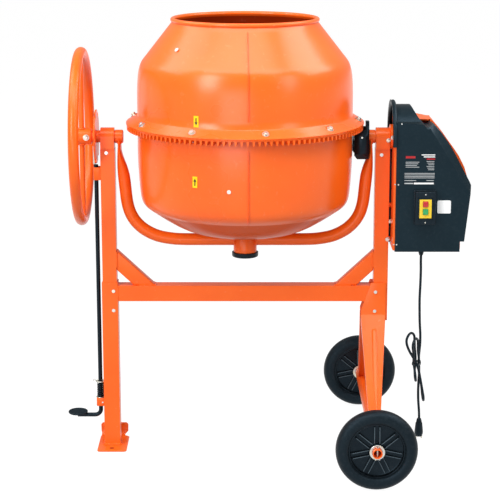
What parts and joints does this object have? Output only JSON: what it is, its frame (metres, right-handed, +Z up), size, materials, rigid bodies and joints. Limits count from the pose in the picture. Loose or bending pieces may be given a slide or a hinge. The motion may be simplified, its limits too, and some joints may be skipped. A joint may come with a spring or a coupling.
{
  "type": "concrete mixer",
  "caption": "Electric tilting-drum concrete mixer on a wheeled tube frame, with a handwheel to tip the drum, a pedal lock and a belt drive in a side housing",
  "frame": {"origin": "middle of the mixer's footprint, on the ground under its wheels and foot", "axes": "+X along the tilt axis toward the motor housing, -Y the working side with the switch, +Z up through the drum's mouth"},
  "size_m": [1.1284, 0.8074, 1.2241],
  "materials": {
    "upper_rod_bracket": "orange powder coat",
    "lower_rod_bracket": "orange powder coat",
    "handwheel_rim": "orange powder coat",
    "handwheel_bar": "orange powder coat",
    "handwheel_hub": "orange powder coat",
    "lock_disc": "orange powder coat",
    "left_foot": "orange powder coat",
    "left_leg": "orange powder coat",
    "left_post": "orange powder coat",
    "crossbar": "orange powder coat",
    "left_brace": "orange powder coat",
    "right_brace": "orange powder coat",
    "right_post": "orange powder coat",
    "front_wheel_leg": "orange powder coat",
    "rear_wheel_leg": "orange powder coat",
    "axle": "orange powder coat",
    "left_trunnion_block": "orange powder coat",
    "right_trunnion_block": "orange powder coat",
    "mounting_plate": "orange powder coat",
    "rear_cover": "orange powder coat",
    "yoke": "orange powder coat",
    "yoke_hub": "orange powder coat",
    "left_journal": "orange powder coat",
    "right_journal": "orange powder coat",
    "drum_lower": "orange powder coat",
    "drum_upper": "orange powder coat",
    "ring_gear": "orange powder coat",
    "mixing_blade_front": "orange powder coat",
    "mixing_blade_rear": "orange powder coat",
    "pinion_guard": "black paint",
    "pedal_rod": "black paint",
    "return_spring": "black paint",
    "front_cover": "textured black plastic",
    "switch_box": "textured black plastic",
    "hub_cap": "textured black plastic",
    "cord_gland": "textured black plastic",
    "front_wheel_disc": "textured black plastic",
    "rear_wheel_disc": "textured black plastic",
    "front_wheel_tyre": "black rubber",
    "rear_wheel_tyre": "black rubber",
    "foot_pad": "black rubber",
    "drive_belt": "black rubber",
    "power_cord": "black rubber",
    "cord_tie": "black rubber",
    "plug": "black rubber",
    "switch_plate": "yellow plastic",
    "red_button": "red plastic",
    "green_button": "green plastic",
    "motor": "grey paint",
    "motor_bracket": "bare or zinc plated steel",
    "drum_spindle": "bare or zinc plated steel",
    "spindle_bearing": "bare or zinc plated steel",
    "drive_shaft": "bare or zinc plated steel",
    "motor_pulley": "bare or zinc plated steel",
    "front_wheel_pin": "bare or zinc plated steel",
    "rear_wheel_pin": "bare or zinc plated steel",
    "lock_pin": "bare or zinc plated steel",
    "shaft_bush": "bronze bush",
    "large_pulley": "cast iron",
    "pinion": "cast iron"
  },
  "bodies": {
    "frame": {"left_foot": "left_foot", "left_leg": "left_leg", "left_post": "left_post", "crossbar": "crossbar", "left_brace": "left_brace", "right_brace": "right_brace", "right_post": "right_post", "front_wheel_leg": "front_wheel_leg", "rear_wheel_leg": "rear_wheel_leg", "axle": "axle", "front_wheel_pin": "front_wheel_pin", "rear_wheel_pin": "rear_wheel_pin", "left_trunnion_block": "left_trunnion_block", "right_trunnion_block": "right_trunnion_block", "upper_rod_bracket": "upper_rod_bracket", "lower_rod_bracket": "lower_rod_bracket", "mounting_plate": "mounting_plate", "front_cover": "front_cover", "rear_cover": "rear_cover", "motor": "motor", "motor_bracket": "motor_bracket", "drive_belt": "drive_belt", "switch_box": "switch_box", "switch_plate": "switch_plate", "cord_gland": "cord_gland", "power_cord": "power_cord", "cord_tie": "cord_tie", "plug": "plug", "return_spring": "return_spring"},
    "yoke": {"yoke": "yoke", "yoke_hub": "yoke_hub", "spindle_bearing": "spindle_bearing", "hub_cap": "hub_cap", "left_journal": "left_journal", "right_journal": "right_journal", "shaft_bush": "shaft_bush", "pinion_guard": "pinion_guard", "handwheel_rim": "handwheel_rim", "handwheel_bar": "handwheel_bar", "handwheel_hub": "handwheel_hub", "lock_disc": "lock_disc"},
    "drum": {"drum_lower": "drum_lower", "drum_upper": "drum_upper", "ring_gear": "ring_gear", "mixing_blade_front": "mixing_blade_front", "mixing_blade_rear": "mixing_blade_rear", "drum_spindle": "drum_spindle"},
    "drive": {"drive_shaft": "drive_shaft", "pinion": "pinion", "large_pulley": "large_pulley"},
    "motor_rotor": {"motor_pulley": "motor_pulley"},
    "front_wheel": {"front_wheel_tyre": "front_wheel_tyre", "front_wheel_disc": "front_wheel_disc"},
    "rear_wheel": {"rear_wheel_tyre": "rear_wheel_tyre", "rear_wheel_disc": "rear_wheel_disc"},
    "pedal": {"pedal_rod": "pedal_rod", "lock_pin": "lock_pin", "foot_pad": "foot_pad"},
    "red_button": {"red_button": "red_button"},
    "green_button": {"green_button": "green_button"}
  },
  "joints": [
    {"name": "drum_tilt", "type": "hinge", "parent": "frame", "child": "yoke", "pos_m": [-0.05625, 0, 0.895], "axis": [1, 0, 0], "range_deg": [-120, 120]},
    {"name": "drum_spin", "type": "hinge", "parent": "yoke", "child": "drum", "pos_m": [-0.05625, 0, 0.6], "axis": [0, 0, 1], "continuous": true},
    {"name": "drive_spin", "type": "hinge", "parent": "yoke", "child": "drive", "pos_m": [0.34375, 0, 0.895], "axis": [1, 0, 0], "continuous": true},
    {"name": "motor_spin", "type": "hinge", "parent": "frame", "child": "motor_rotor", "pos_m": [0.38375, 0, 0.7], "axis": [1, 0, 0], "continuous": true},
    {"name": "front_wheel_spin", "type": "hinge", "parent": "frame", "child": "front_wheel", "pos_m": [0.29475, -0.3667, 0.11], "axis": [0, 1, 0], "continuous": true},
    {"name": "rear_wheel_spin", "type": "hinge", "parent": "frame", "child": "rear_wheel", "pos_m": [0.29475, 0.3667, 0.11], "axis": [0, 1, 0], "continuous": true},
    {"name": "pedal_press", "type": "slide", "parent": "frame", "child": "pedal", "axis": [0, 0, -1], "range_m": [0, 0.018], "stiffness_N_per_m": 900, "springref_m": -0.02, "deforming": ["return_spring"]},
    {"name": "red_button_press", "type": "slide", "parent": "frame", "child": "red_button", "axis": [0, 1, 0], "range_m": [0, 0.0025], "stiffness_N_per_m": 400, "springref_m": -0.002},
    {"name": "green_button_press", "type": "slide", "parent": "frame", "child": "green_button", "axis": [0, 1, 0], "range_m": [0, 0.0025], "stiffness_N_per_m": 400, "springref_m": -0.002}
  ],
  "couplings": [
    {"joint": "drive_spin", "follows": "drum_spin", "ratio": -11},
    {"joint": "motor_spin", "follows": "drum_spin", "ratio": -82.5}
  ]
}
